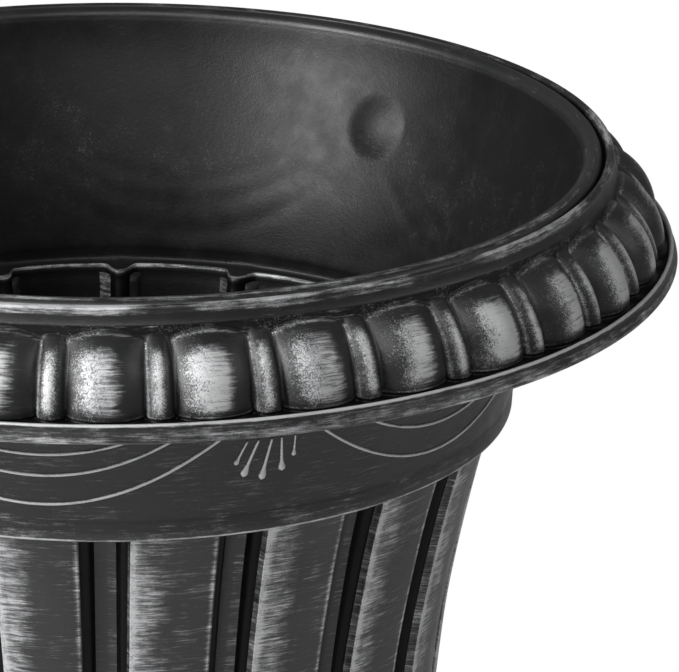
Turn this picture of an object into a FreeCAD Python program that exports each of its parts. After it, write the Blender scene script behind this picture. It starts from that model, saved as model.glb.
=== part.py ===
import FreeCAD, Part
import math
import os

from FreeCAD import Vector

# A fluted garden urn: one thin-walled bowl moulding with an egg-and-dart rim, screwed
# down on a hollow moulded foot, with a soft plug in its drain hole.
# Millimetres, +Z up, origin on the ground under the middle of the foot.
# Heights called "drop" are measured down from the top of the rim bead.
# Round mouldings are cut into short straight runs, so that their facets stay few.

# ---- overall sizes -------------------------------------------------------------
HEIGHT = 480.0              # ground to the top of the rim bead
BOWL_DEPTH = 338.0          # rim top to the underside of the bowl's floor
WALL = 3.0                  # wall of the bowl and of the foot
SKIRT_WALL = 2.4            # thinner wall of the overhanging rim
FLOOR = 3.4                 # thickness of the bowl's floor

# ---- rim: radii and drops of its corners ----------------------------------------
MOUTH_R = 168.0             # clear mouth, inside the bead
BEAD_R = 3.6                # radius of the rounded top bead
BEAD_RUNS = 4
GROOVE_R = 175.0            # narrow groove outside the bead
GROOVE_DROP = 2.5
GROOVE_W = 0.35
SHOULDER_W = 3.8            # width and rise of the rounded shoulder outside the groove
SHOULDER_RISE = 2.1
SHOULDER_RUNS = 2
CAVETTO_FOOT = (181.3, 11.5)    # where the hollow slope under the shoulder ends
CREASE = (188.3, 21.8)      # surface between the eggs, half way down
GUTTER = (191.6, 34.4)      # inner corner of the gutter under the eggs
LIP_R = 202.6               # outermost radius of the lip
LIP_FLARE = 2.2             # how far the lip's face leans out
LIP_TOP_DROP = 33.3
LIP_BOTTOM_DROP = 39.3
LIP_WALL = 2.6
GUTTER_SLOPE = 1.0          # how far the gutter's outer side leans out up to the lip
LIP_STEP = 0.6              # how far the lip's inside steps in under the gutter
SKIRT_TOP_R = 171.9         # inside of the skirt, up against the bowl's wall
SKIRT_TOP_DROP = 3.84       # and how far below the groove

# ---- egg-and-dart moulding --------------------------------------------------------
PAIRS = 34                  # eggs round the rim, and as many darts
EGG_TOP = (180.4, 8.0)      # radius and drop of the crest line's upper end
EGG_FOOT = (197.7, 35.4)    # its lower end, sunk in the floor of the gutter
EGG_BULGE = 4.8             # how far the crest line bows out of its chord
EGG_CROSS_R = 16.0          # radius across the egg
EGG_HALF_WIDTH = 13.2
EGG_SIDES = (-0.72, 0.0, 0.72)  # places of the points across an egg, as shares of its half width
DART_TOP = (180.9, 10.0)
DART_FOOT = (196.3, 35.4)
DART_BULGE = 3.6
DART_CROSS_R = 4.6
DART_HALF_WIDTH = 4.4
DART_SIDES = (-0.5, 0.5)
# levels down the crest lines: share of the way, and width of the eggs there
CREST_LEVELS = ((0.13, 0.8), (0.38, 1.0), (0.7, 1.0), (1.0, 1.0))
MOULDING_TOP = (180.2, 7.4)     # where eggs and darts start to rise from the hollow slope
MOULDING_HEAD = (178.6, 2.1)    # top of the slope, sunk in the shoulder
SHOULDER_TUCK = (1.25, 0.8)     # how far in and down the shoulder turns under to meet it
MOULDING_ROOT = 1.5         # thickness of the ring at its head
ROOT_SHARE = 0.6            # how deep it is rooted in the skirt's wall, and how deep
CORE_SHARE = 0.3            # the turned skirt's own face lies inside it
CREASE_RISE = 0.1           # how far the creases stand off the skirt's face
CREASE_STEPS = 100          # even steps down the creases, of which each level takes one

# ---- band under the rim -------------------------------------------------------------
# inside face of the bowl above the ledge: radius and drop
BOWL_INNER = ((MOUTH_R, BEAD_R), (157.2, 37.0), (144.6, 75.0), (141.8, 93.7))
BAND_FOOT_DROP = 96.4       # bottom edge of the band
BAND_EDGE_R = 143.4
LEDGE_DROP = 93.7           # ledge inside the bowl
LEDGE_IN_R = 120.0          # its inner edge, before the fluted body's inside trims it
BAND_UNDER_DROP = 97.0      # underside of the step between band and body
BAND_CHAMFER = 1.0
BAND_OVERLAP = 1.0          # how far the step's underside runs in over the body

# ---- fluted body ----------------------------------------------------------------------
FLUTES = 18
PANEL_SHARE = 12.74 / 20.0  # share of the pitch that the raised panel takes
PANEL_CROWN = 0.8           # rise of the panel between its edges
FLUTE_RUNS = 4              # straight runs across a rounded flute
FLUTE_DEPTH = 8.0           # at the top of the body; below, it shrinks with the radius
FLUTE_SIDE = math.radians(1.2)  # half angle by which the flutes are wider inside
BODY_TOP_R = 139.7
NECK_R = 56.0               # radius of the bowl's underside, where it sits on the foot
# face of the panels below the band: radius and drop
BODY_OUTER = ((BODY_TOP_R, BAND_FOOT_DROP), (127.0, 150.0), (118.2, 215.0), (112.4, 275.0),
              (104.0, 303.0), (84.0, 326.0), (NECK_R, BOWL_DEPTH))
CAVITY_FLOOR_R = 54.5       # radius of the flat floor inside
CAVITY_RISE = 2.0           # how far the cut for the inside runs up past the ledge

# ---- joint between bowl and foot ----------------------------------------------------------
SPIGOT_R = 51.5             # ring under the bowl that centres it in the foot
SPIGOT_LONG = 5.0
FIT_GAP = 0.25              # clearance round and under the spigot
SCREWS = 4
SCREW_CIRCLE_R = 31.0
SCREW_R = 2.4
SCREW_PLAY = 0.3            # clearance round the screws in the bowl's floor
SCREW_LONG = 22.0
SCREW_HEAD_R = 5.0          # hexagon head, over its corners
SCREW_HEAD_H = 3.2
BOSS_R = 5.6
PILOT_GAP = 0.02

# ---- drain ----------------------------------------------------------------------------------
DRAIN_R = 10.0
PLUG_GAP = 0.05
PLUG_FLANGE_R = 14.0
PLUG_FLANGE_H = 2.2
TAB_ROOT = 0.7              # how deep the tab is sunk in the flange
PLUG_LONG = 7.5
PLUG_STRAIGHT = 6.4         # length that fits in the hole, above the chamfered tip
PLUG_TAPER = 0.8
TAB_W = 14.0                # pull tab on top of the plug
TAB_H = 11.0
TAB_T = 3.2
TAB_CORNER = 4.0
TAB_HOLE_R = 2.6

# ---- foot -------------------------------------------------------------------------------------
PLINTH = 238.0              # side of the square plinth
PLINTH_H = 30.0
PLINTH_CORNER = 5.0
PLINTH_LEAN = 1.5           # draft of the plinth's sides
INNER_CORNER = 0.7          # share of the wall that the hollow's corners lose from their radius
BASE_RING_R = 108.0         # rounded ring on the plinth
BASE_RING_TOP = (93.0, 48.0)    # radius and height above ground where it ends
BASE_RING_BULGE = 5.0
BASE_RING_FOOT = 3.0        # upright face of the ring, above the plinth
BASE_RING_SINK = 6.0        # and how deep the ring is sunk in it
RING_RUNS = 2
STEM_FOOT = (86.0, 56.0)    # the hollow-sided stem, from here up to the ankle
STEM_BULGE = 11.0
STEM_RUNS = 3
ANKLE = (43.0, 112.0)
STEM_TOP_R = 49.0           # under the collar
COLLAR_R = 60.0             # rounded collar under the bowl
COLLAR_H = 11.0
COLLAR_EDGE = 2.0
COLLAR_UNDER = (3.0, 1.0)   # how far in and up the collar's underside ends
HOLLOW_SIDES = 48           # flat sides of the stem's hollow
RIB_T = 2.6
RIBS = 8
RIB_LIFT = 6.0              # ribs stop this far above the ground
RIB_START_R = 92.0
DRAIN_WAY_R = 20.0          # hole in the foot's top plate, under the drain

RIM_TOP = HEIGHT
FLOOR_UNDER = HEIGHT - BOWL_DEPTH
FLOOR_TOP = FLOOR_UNDER + FLOOR
PLATE_TOP = FLOOR_UNDER - SPIGOT_LONG - FIT_GAP
PLATE_UNDER = PLATE_TOP - WALL
UP = Vector(0, 0, 1)
SEAM = 50.0                 # direction of the seam of turned faces, clear of every symmetry plane
FLAT = 1e-6                 # a face whose corners lie this close to one plane counts as flat
TIGHT = 1e-6
PAST = 1.0                  # how far a cut runs past what it cuts


# ---- helpers --------------------------------------------------------------------------------------
def at(r, drop):
    """A point in the XZ plane at a radius and a drop below the rim."""
    return Vector(r, 0, RIM_TOP - drop)


def standing(r, height):
    """A point in the XZ plane at a radius and a height above the ground."""
    return Vector(r, 0, height)


def left_of(a, b):
    """The direction to the left of a-b in the XZ plane."""
    along = (b - a).normalize()
    return Vector(-along.z, 0, along.x)


def arc_at(a, b, bulge, share):
    """The point at a share of the arc from a to b that bows out to the left by bulge."""
    half_chord = (b - a).Length / 2
    radius = (half_chord ** 2 + bulge ** 2) / (2 * bulge)
    out = left_of(a, b)
    along = (b - a).normalize()
    centre = (a + b) * 0.5 + out * (bulge - radius)
    angle = (2 * share - 1) * math.asin(half_chord / abs(radius))
    return centre + out * (radius * math.cos(angle)) + along * (abs(radius) * math.sin(angle))


def runs(a, b, bulge, count):
    """The corners of an arc cut into straight runs, without its last point."""
    return [arc_at(a, b, bulge, k / count) for k in range(count)]


def beside(points, distance):
    """An open outline moved to its left by a distance, with mitred corners."""
    normals = [left_of(a, b) for a, b in zip(points, points[1:])]
    normals = normals[:1] + normals + normals[-1:]
    moved = []
    for point, before, after in zip(points, normals, normals[1:]):
        mean = before + after
        moved.append(point + mean * (2 * distance / mean.dot(mean)))
    return moved


def turned(points):
    """A closed outline in the XZ plane, turned round the axis."""
    face = Part.Face(Part.makePolygon(points + points[:1]))
    face.rotate(Vector(), UP, SEAM)
    return face.revolve(Vector(), UP, 360)


def faceted(sections):
    """A solid through flat sections that have equal numbers of points, with flat faces only."""
    faces = [Part.Face(Part.makePolygon(end + end[:1])) for end in (sections[0], sections[-1])]
    for low, high in zip(sections, sections[1:]):
        for a, b, c, d in zip(low, low[1:] + low[:1], high[1:] + high[:1], high):
            off_plane = abs((b - a).cross(c - a).normalize().dot(d - a))
            corners = [[a, b, c, d]] if off_plane < FLAT else [[a, b, c], [a, c, d]]
            faces += [Part.Face(Part.makePolygon(points + points[:1])) for points in corners]
    shell = Part.makeShell(faces)
    shell.sewShape()
    solid = Part.makeSolid(shell)
    solid.fixTolerance(TIGHT)
    if solid.Volume < 0:
        solid.reverse()
    return solid


def rod(radius, low, high, x=0.0, y=0.0):
    return Part.makeCylinder(radius, high - low, Vector(x, y, low))


# ---- bowl -------------------------------------------------------------------------------------------
def skirt_outside():
    """Face of the overhanging rim behind the eggs, from the top down."""
    return [at(*CAVETTO_FOOT), at(*CREASE), at(*GUTTER)]


def rim_and_band():
    """Bead, shoulder, overhanging rim, bowl wall and ledge, turned in one piece."""
    bead_start = at(MOUTH_R, BEAD_R)
    bead_end = at(GROOVE_R, GROOVE_DROP)
    bead_chord = (bead_end - bead_start).Length
    bead_bulge = BEAD_R - math.sqrt(BEAD_R ** 2 - (bead_chord / 2) ** 2)
    groove_end = bead_end + Vector(GROOVE_W, 0, 0)
    shoulder_end = groove_end + Vector(SHOULDER_W, 0, 0)
    lip_top = at(LIP_R - LIP_FLARE, LIP_TOP_DROP)
    gutter_out = at(lip_top.x - GUTTER_SLOPE, GUTTER[1])
    lip_bottom = at(LIP_R, LIP_BOTTOM_DROP)

    skirt_inside = beside(skirt_outside(), -SKIRT_WALL)
    skirt_foot = at(skirt_inside[-1].x, GUTTER[1] + SKIRT_WALL)
    skirt_lip = at(gutter_out.x - LIP_STEP, GUTTER[1] + SKIRT_WALL)
    skirt_neck = at(shoulder_end.x - SKIRT_WALL, GROOVE_DROP + SKIRT_WALL)

    inside = [at(r, drop) for r, drop in BOWL_INNER]
    outside = beside(inside, WALL)
    outside[0] = at(SKIRT_TOP_R, GROOVE_DROP + SKIRT_TOP_DROP)
    outline = runs(bead_start, bead_end, bead_bulge, BEAD_RUNS)
    outline += [bead_end]
    outline += runs(groove_end, shoulder_end, SHOULDER_RISE, SHOULDER_RUNS)
    outline += [shoulder_end]
    outline += [shoulder_end - Vector(SHOULDER_TUCK[0], 0, SHOULDER_TUCK[1])]
    outline += beside(skirt_outside(), -SKIRT_WALL * CORE_SHARE)[:-1]
    outline += [at(GUTTER[0] - SKIRT_WALL * CORE_SHARE, GUTTER[1])]
    outline += [gutter_out, lip_top, lip_bottom, lip_bottom - Vector(LIP_WALL, 0, 0), skirt_lip, skirt_foot]
    outline += [skirt_inside[1], skirt_inside[0], skirt_neck]
    outline += outside[:-1]
    outline += [at(BAND_EDGE_R + BAND_CHAMFER, BAND_FOOT_DROP - BAND_CHAMFER)]
    outline += [at(BAND_EDGE_R, BAND_FOOT_DROP)]
    outline += [at(BODY_TOP_R - BAND_OVERLAP, BAND_UNDER_DROP)]
    outline += [at(LEDGE_IN_R, BAND_UNDER_DROP), at(LEDGE_IN_R, LEDGE_DROP)]
    outline += inside[:0:-1]
    return turned(outline)


def crest_points(crest, root, cross_r, half_width, sides):
    """Points across an egg or dart, rounded over from its crest; sides are shares of the half width."""
    inward = root - crest
    full_fall = cross_r - math.sqrt(cross_r ** 2 - half_width ** 2)
    flatten = min(1.0, inward.Length / full_fall)
    inward.normalize()
    points = []
    for side in sides:
        away = side * half_width
        fall = cross_r - math.sqrt(cross_r ** 2 - away ** 2)
        points.append(crest + inward * (fall * flatten) + Vector(0, away, 0))
    return points


def moulding_section(share, arch):
    """Points round the rim at one share of the way down the eggs and darts."""
    creases = Part.makePolygon(beside([at(*MOULDING_TOP)] + skirt_outside(), CREASE_RISE))
    root = creases.discretize(CREASE_STEPS + 1)[round(share * CREASE_STEPS)]
    dart_crest = arc_at(at(*DART_TOP), at(*DART_FOOT), DART_BULGE, share)
    egg_crest = arc_at(at(*EGG_TOP), at(*EGG_FOOT), EGG_BULGE, share)
    dart = crest_points(dart_crest, root, DART_CROSS_R, DART_HALF_WIDTH, DART_SIDES)
    egg = crest_points(egg_crest, root, EGG_CROSS_R, EGG_HALF_WIDTH, [side * arch for side in EGG_SIDES])
    pitch = 360.0 / PAIRS
    edge = math.degrees(math.asin(DART_HALF_WIDTH / root.x))
    places = [(point, 0) for point in dart] + [(root, edge)]
    places += [(point, pitch / 2) for point in egg] + [(root, pitch - edge)]
    section = []
    for k in range(PAIRS):
        section += [FreeCAD.Rotation(UP, k * pitch + turn).multVec(point) for point, turn in places]
    return section


def egg_and_dart():
    """Hollow slope, eggs and darts in one ring, rooted in the skirt's wall."""
    levels = [moulding_section(share, arch) for share, arch in CREST_LEVELS]
    rays = [Vector(point.x, point.y, 0).normalize() for point in levels[0]]
    top = []
    for r, drop in (MOULDING_HEAD, MOULDING_TOP):
        top.append([ray * r + standing(0, RIM_TOP - drop) for ray in rays])
    foot = [Vector(point.x, point.y, RIM_TOP - EGG_FOOT[1]) for point in levels[-1]]
    filled = faceted(top + levels[:-1] + [foot])
    roots = beside(skirt_outside(), -SKIRT_WALL * ROOT_SHARE)
    head_r, head_drop = MOULDING_HEAD
    above, below = at(head_r - MOULDING_ROOT, head_drop - PAST), at(roots[-1].x, EGG_FOOT[1] + PAST)
    core = [standing(0, above.z), above] + roots + [below, standing(0, below.z)]
    return filled.cut(turned(core))


def fluted_section(panel_r, height, side):
    """Closed outline of panels and rounded flutes at one height; side widens the flutes."""
    step = 2 * math.pi / FLUTES
    half = step * (1 - PANEL_SHARE) / 2 + side
    edge_r = panel_r - PANEL_CROWN * panel_r / BODY_TOP_R
    depth = FLUTE_DEPTH * panel_r / BODY_TOP_R
    points = []
    for k in range(FLUTES):
        for run in range(FLUTE_RUNS + 1):
            turn = math.pi * run / FLUTE_RUNS
            angle = k * step - half * math.cos(turn)
            r = edge_r - depth * math.sin(turn)
            points.append(Vector(r * math.cos(angle), r * math.sin(angle), height))
        angle = (k + 0.5) * step
        points.append(Vector(panel_r * math.cos(angle), panel_r * math.sin(angle), height))
    return points


def body_solid():
    """Outside of the fluted body, filled."""
    return faceted([fluted_section(r, RIM_TOP - drop, 0) for r, drop in BODY_OUTER])


def body_cavity():
    """Inside of the fluted body, filled: the outside moved in by the wall, down to the floor."""
    moved = beside([at(r, drop) for r, drop in BODY_OUTER], -WALL)
    moved[0] = Vector(moved[0].x, 0, RIM_TOP - LEDGE_DROP + CAVITY_RISE)
    moved[-1] = Vector(CAVITY_FLOOR_R, 0, FLOOR_TOP)
    return faceted([fluted_section(p.x, p.z, FLUTE_SIDE) for p in moved])


def screw_places():
    turn = 2 * math.pi / SCREWS
    return [(SCREW_CIRCLE_R * math.cos(turn * (k + 0.5)), SCREW_CIRCLE_R * math.sin(turn * (k + 0.5)))
            for k in range(SCREWS)]


def urn_bowl():
    shape = rim_and_band().fuse(egg_and_dart())
    shape = shape.fuse(body_solid())
    spigot_foot = FLOOR_UNDER - SPIGOT_LONG
    shape = shape.fuse(rod(SPIGOT_R, spigot_foot, FLOOR_UNDER + FLOOR / 2))
    cuts = [body_cavity(), rod(SPIGOT_R - WALL, spigot_foot - WALL, FLOOR_UNDER)]
    cuts.append(rod(DRAIN_R, spigot_foot, FLOOR_TOP + FLOOR))
    cuts += [rod(SCREW_R + SCREW_PLAY, spigot_foot, FLOOR_TOP + FLOOR, x, y) for x, y in screw_places()]
    for cut in cuts:
        shape = shape.cut(cut)
    return shape.removeSplitter()


# ---- foot -------------------------------------------------------------------------------------------
def stem_outline():
    """Outside of the foot from the base ring on the plinth up to the collar."""
    ring_foot = standing(BASE_RING_R, PLINTH_H + BASE_RING_FOOT)
    ring_top = standing(*BASE_RING_TOP)
    stem_foot, ankle = standing(*STEM_FOOT), standing(*ANKLE)
    stem_top = standing(STEM_TOP_R, FLOOR_UNDER - COLLAR_H)
    points = [standing(BASE_RING_R, PLINTH_H - BASE_RING_SINK)]
    points += runs(ring_foot, ring_top, -BASE_RING_BULGE, RING_RUNS)
    points += [ring_top]
    points += runs(stem_foot, ankle, STEM_BULGE, STEM_RUNS)
    points += [ankle, stem_top]
    return points


def stem_solid():
    """Stem, base ring and collar as one turned solid."""
    collar_low = FLOOR_UNDER - COLLAR_H
    collar = [standing(COLLAR_R - COLLAR_UNDER[0], collar_low + COLLAR_UNDER[1]),
              standing(COLLAR_R, FLOOR_UNDER - COLLAR_H / 2),
              standing(COLLAR_R - COLLAR_EDGE, FLOOR_UNDER)]
    outline = stem_outline()
    return turned([standing(0, outline[0].z)] + outline + collar + [standing(0, FLOOR_UNDER)])


def stem_hollow():
    """Inside of the stem, from the plinth's hollow up to the top plate."""
    inside = beside(stem_outline(), WALL)
    inside[-1] = standing(STEM_TOP_R - WALL, FLOOR_UNDER - COLLAR_H)
    inside += [standing(STEM_TOP_R - WALL, PLATE_UNDER)]
    turns = [FreeCAD.Rotation(UP, 360.0 * (k + 0.5) / HOLLOW_SIDES) for k in range(HOLLOW_SIDES)]
    return faceted([[turn.multVec(point) for turn in turns] for point in inside])


def square_outline(width, corner, z):
    """A square with rounded corners, at one height."""
    flat = width / 2 - corner
    bend = flat + corner * math.sqrt(0.5)
    edges = []
    for k in range(4):
        turn = FreeCAD.Rotation(UP, 90 * k)
        start = turn.multVec(Vector(flat + corner, flat, z))
        middle = turn.multVec(Vector(bend, bend, z))
        end = turn.multVec(Vector(flat, flat + corner, z))
        onward = turn.multVec(Vector(-flat, flat + corner, z))
        edges.append(Part.Arc(start, middle, end).toShape())
        edges.append(Part.LineSegment(end, onward).toShape())
    return Part.Wire(edges)


def plinth_block(side, corner, low, high):
    """The square plinth with leaning sides, or its hollow."""
    wires = [square_outline(side, corner, low), square_outline(side - 2 * PLINTH_LEAN, corner, high)]
    return Part.makeLoft(wires, True, True)


def plinth_ribs(hollow):
    """Ribs under the plinth, running out to its walls."""
    blades = []
    for k in range(RIBS):
        blade = Part.makeBox(PLINTH, RIB_T, PLINTH_H, Vector(RIB_START_R, -RIB_T / 2, RIB_LIFT))
        blade.rotate(Vector(), UP, k * 360.0 / RIBS)
        blades.append(blade.common(hollow))
    return blades


def pedestal_foot():
    block = plinth_block(PLINTH, PLINTH_CORNER, 0, PLINTH_H)
    hollow = plinth_block(PLINTH - 2 * WALL, PLINTH_CORNER - WALL * INNER_CORNER, 0, PLINTH_H - WALL)
    shape = block.fuse(stem_solid()).cut(hollow).cut(stem_hollow())
    boss_foot = FLOOR_UNDER - SCREW_LONG + FLOOR
    cup = rod(SPIGOT_R + FIT_GAP, PLATE_TOP, FLOOR_UNDER + PAST)
    shape = shape.cut(cup)
    bosses = [rod(BOSS_R, boss_foot, FLOOR_UNDER, x, y) for x, y in screw_places()]
    shape = shape.multiFuse(bosses + plinth_ribs(hollow))
    shape = shape.cut(rod(DRAIN_WAY_R, PLATE_UNDER - PAST, PLATE_TOP + PAST))
    for x, y in screw_places():
        shape = shape.cut(rod(SCREW_R + PILOT_GAP, boss_foot - PAST, FLOOR_UNDER + PAST, x, y))
    return shape.removeSplitter()


# ---- small parts --------------------------------------------------------------------------------------
def foot_screws():
    """Self-tapping screws driven down through the bowl's floor."""
    tip = FLOOR_TOP - SCREW_LONG
    shank = rod(SCREW_R, tip, FLOOR_TOP)
    corners = [Vector(SCREW_HEAD_R, 0, FLOOR_TOP)]
    corners = [FreeCAD.Rotation(UP, 60 * k).multVec(corners[0]) for k in range(6)]
    head = Part.Face(Part.makePolygon(corners + corners[:1])).extrude(Vector(0, 0, SCREW_HEAD_H))
    screw = shank.fuse(head)
    screws = []
    for x, y in screw_places():
        one = screw.copy()
        one.translate(Vector(x, y, 0))
        screws.append(one)
    return Part.makeCompound(screws)


def drain_plug():
    """Soft plug with a flange on the floor and a pull tab."""
    r = DRAIN_R - PLUG_GAP
    seat = FLOOR_TOP + PLUG_GAP
    flange_top = seat + PLUG_FLANGE_H
    body = turned([
        standing(0, FLOOR_TOP - PLUG_LONG), standing(r - PLUG_TAPER, FLOOR_TOP - PLUG_LONG),
        standing(r, FLOOR_TOP - PLUG_STRAIGHT), standing(r, seat), standing(PLUG_FLANGE_R, seat),
        standing(PLUG_FLANGE_R, flange_top), standing(0, flange_top),
    ])
    half = TAB_W / 2
    top = flange_top + TAB_H
    tab = Part.Face(Part.makePolygon([
        Vector(-half, -TAB_T / 2, flange_top - TAB_ROOT), Vector(half, -TAB_T / 2, flange_top - TAB_ROOT),
        Vector(half, -TAB_T / 2, top - TAB_CORNER), Vector(half - TAB_CORNER, -TAB_T / 2, top),
        Vector(TAB_CORNER - half, -TAB_T / 2, top), Vector(-half, -TAB_T / 2, top - TAB_CORNER),
        Vector(-half, -TAB_T / 2, flange_top - TAB_ROOT),
    ])).extrude(Vector(0, TAB_T, 0))
    eye = Part.makeCylinder(TAB_HOLE_R, TAB_T * 2, Vector(0, -TAB_T, flange_top + TAB_H / 2), Vector(0, 1, 0))
    return body.fuse(tab.cut(eye)).removeSplitter()


def main():
    os.makedirs("parts", exist_ok=True)
    nodes = {
        "urn_bowl": urn_bowl(),
        "pedestal_foot": pedestal_foot(),
        "foot_screws": foot_screws(),
        "drain_plug": drain_plug(),
    }
    for name, shape in nodes.items():
        shape.exportStep("parts/" + name + ".step")
        box = shape.BoundBox
        print(name, "solids", len(shape.Solids), "valid", shape.isValid(), "volume %.0f" % shape.Volume,
              "size %.1f %.1f %.1f" % (box.XLength, box.YLength, box.ZLength), "z %.2f" % box.ZMin)


main()
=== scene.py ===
"""A fluted garden urn in charcoal plastic with silver brushed over its relief.

Sizes are millimetres in the profiles and metres on the meshes. "drop" is measured down from
the top of the rim. Angles run round the axis from +X.
"""
import math

import bpy
import numpy as np
from mathutils import Matrix, Vector

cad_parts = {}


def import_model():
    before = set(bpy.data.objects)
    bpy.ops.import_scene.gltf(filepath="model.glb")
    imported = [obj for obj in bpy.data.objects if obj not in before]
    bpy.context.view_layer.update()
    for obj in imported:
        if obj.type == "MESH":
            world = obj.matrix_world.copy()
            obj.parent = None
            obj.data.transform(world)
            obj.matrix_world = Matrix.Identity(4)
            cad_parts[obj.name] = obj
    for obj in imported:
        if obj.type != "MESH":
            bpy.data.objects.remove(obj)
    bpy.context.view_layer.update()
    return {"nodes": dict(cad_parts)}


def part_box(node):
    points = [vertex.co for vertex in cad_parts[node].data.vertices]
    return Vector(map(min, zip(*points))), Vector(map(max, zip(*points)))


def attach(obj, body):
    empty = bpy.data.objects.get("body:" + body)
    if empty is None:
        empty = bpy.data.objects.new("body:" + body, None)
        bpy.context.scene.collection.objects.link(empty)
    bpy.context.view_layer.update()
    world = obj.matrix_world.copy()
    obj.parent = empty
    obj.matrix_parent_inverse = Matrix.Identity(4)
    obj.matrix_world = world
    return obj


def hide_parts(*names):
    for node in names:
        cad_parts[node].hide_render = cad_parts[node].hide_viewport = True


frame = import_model()

MM = 0.001
RIM_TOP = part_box("urn_bowl")[1].z / MM     # height of the rim above the ground
TURN = 2 * math.pi

# ---- camera, as fitted to the photograph ----------------------------------------------
IMAGE_W = 679
FOCAL_PX = 4979.94
CAMERA_FAR = 1695.0         # horizontal distance from the urn's axis
CAMERA_RISE = 533.2         # above the rim
VIEW_ANGLE = math.radians(-78.69)   # where the camera stands, round the axis
YAW = 0.04837
PITCH = 0.34418
ROLL = 0.01101
SENSOR_W = 36.0

# ---- rim ------------------------------------------------------------------------------
MOUTH_R = 168.0
BEAD_R = 3.6
GROOVE_R = 174.75
GROOVE_DROP = 2.5
PAIRS = 34
PAIR_COLUMNS = 44
EGG_CREST = ((180.5, 7.6), (193.4, 18.2), (197.7, 33.2))     # radius and drop: ends, a point between
DART_CREST = ((181.3, 9.4), (191.6, 20.0), (196.3, 33.2))
EGG_CROSS_R = 16.0
EGG_HALF = 13.2             # half an egg's width
EGG_ARCH = 0.13             # how far the top of an egg arches, as a share of the slope
DART_CROSS_R = 4.6
EGG_BASE = ((180.35, 6.6), (181.3, 11.5), (188.3, 21.8), (191.0, 30.0), (191.6, 33.2))
FOOT_STEP = (0.9, 1.5)      # how far eggs step in above the gutter, and its depth there

# ---- bowl -------------------------------------------------------------------------------
WALL = 3.0
INNER_WALL = ((141.8, 93.7), (142.0, 90.0), (142.6, 85.0), (147.8, 64.0), (157.5, 36.0),
              (165.0, 15.0), (168.0, 3.6))
BODY_OUTER = ((139.7, 97.0), (134.6, 115.0), (129.9, 135.0), (125.8, 155.0), (122.4, 175.0),
              (119.6, 200.0), (116.9, 230.0), (113.0, 268.0), (105.6, 298.0), (90.8, 320.0),
              (72.0, 332.5), (56.0, 338.0))
FLUTES = 18
GROOVE_SHARE = 7.26 / 20.0
GROOVE_COLUMNS = 22
PANEL_COLUMNS = 26
FLUTE_DEPTH = 8.0
FLUTE_DEPTH_FOOT = 3.0
PANEL_CROWN = 0.8
INNER_NARROW = 0.55         # width of the flutes inside, as a share of their width outside
FLOOR = 3.4
BOWL_DEPTH = 338.0
DRAIN_R = 10.0
LEDGE_DROP = 93.7

# ---- garlands ------------------------------------------------------------------------------
SWAGS = 6
SWAG_TURN = math.radians(1.5)
BOSS_DROP = 34.0
BOSS_R = 13.0
BOSS_DEPTH = 2.0


# ================================ curves and skins ==========================================
def path(points, step):
    """A smooth curve through points, as rows of (radius, drop) about a step apart."""
    p = np.array(points, float)
    ends = np.vstack([2 * p[0] - p[1], p, 2 * p[-1] - p[-2]])
    out = []
    for k in range(1, len(p)):
        a, b, c, d = ends[k - 1], ends[k], ends[k + 1], ends[k + 2]
        count = max(1, int(round(np.linalg.norm(c - b) / step)))
        for t in np.arange(count) / count:
            out.append(0.5 * (2 * b + (c - a) * t + (2 * a - 5 * b + 4 * c - d) * t ** 2
                              + (3 * b - a - 3 * c + d) * t ** 3))
    return np.vstack(out + [p[-1]])


def bend(a, mid, b, count):
    """An arc through three points."""
    a, mid, b = (np.array(q, float) for q in (a, mid, b))
    m = np.array([b - a, mid - a])
    centre = a + np.linalg.solve(2 * m, (m ** 2).sum(1))
    start, middle, end = (math.atan2(*(q - centre)[::-1]) for q in (a, mid, b))
    sweep = (end - start) % TURN
    if (middle - start) % TURN > sweep:
        sweep -= TURN
    turns = start + sweep * np.linspace(0, 1, count + 1)
    return centre + np.linalg.norm(a - centre) * np.stack([np.cos(turns), np.sin(turns)], 1)


def runs(points):
    return np.array(points, float)


def normals(p):
    """Directions square to a curve, to the side of larger radius when the drop grows."""
    t = np.gradient(p, axis=0)
    t /= np.linalg.norm(t, axis=1)[:, None]
    return np.stack([t[:, 1], -t[:, 0]], 1)


def lengths(p):
    steps = np.linalg.norm(np.diff(p, axis=0, append=p[:1]), axis=1)
    return np.concatenate([[0], np.cumsum(steps[:-1])])


def add_numbers(mesh, name, values):
    values = np.ascontiguousarray(values, np.float32)
    kind, key = ("FLOAT_VECTOR", "vector") if values.ndim == 2 else ("FLOAT", "value")
    mesh.attributes.new(name, kind, "POINT").data.foreach_set(key, values.ravel())


def mesh_object(name, points, faces, body, material, silver=0.0, grain=None, drag=0.6, painted_light=1.0):
    """A smooth mesh that rides a body, with the numbers that its material reads."""
    mesh = bpy.data.meshes.new(name)
    points = np.asarray(points, float) * MM
    mesh.from_pydata(points.tolist(), [], faces.tolist() if hasattr(faces, "tolist") else faces)
    mesh.polygons.foreach_set("use_smooth", np.ones(len(mesh.polygons), bool))
    # painted_light is painted shade: at 1 the plastic keeps its colour, and lower values darken it towards
    # near black in hollows, under overhangs and inside the bowl.
    for key, value in (("silver", silver), ("drag", drag), ("painted_light", painted_light)):
        add_numbers(mesh, key, np.broadcast_to(np.asarray(value, float), len(points)))
    add_numbers(mesh, "grain", points if grain is None else np.asarray(grain) * MM)
    mesh.materials.append(material)
    mesh.update()
    piece = bpy.data.objects.new(name, mesh)
    bpy.context.scene.collection.objects.link(piece)
    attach(piece, body)
    return piece


def grid_faces(rows, columns, close_rows=True):
    """Quads of a skin that wraps round the axis, with its outside to the right of its rows."""
    r = np.arange(rows if close_rows else rows - 1)
    c = np.arange(columns)
    a = (r[:, None] * columns + c).ravel()
    b = (r[:, None] * columns + (c + 1) % columns).ravel()
    d = (((r + 1) % rows)[:, None] * columns + c).ravel()
    e = (((r + 1) % rows)[:, None] * columns + (c + 1) % columns).ravel()
    return np.stack([a, b, e, d], 1)


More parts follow.
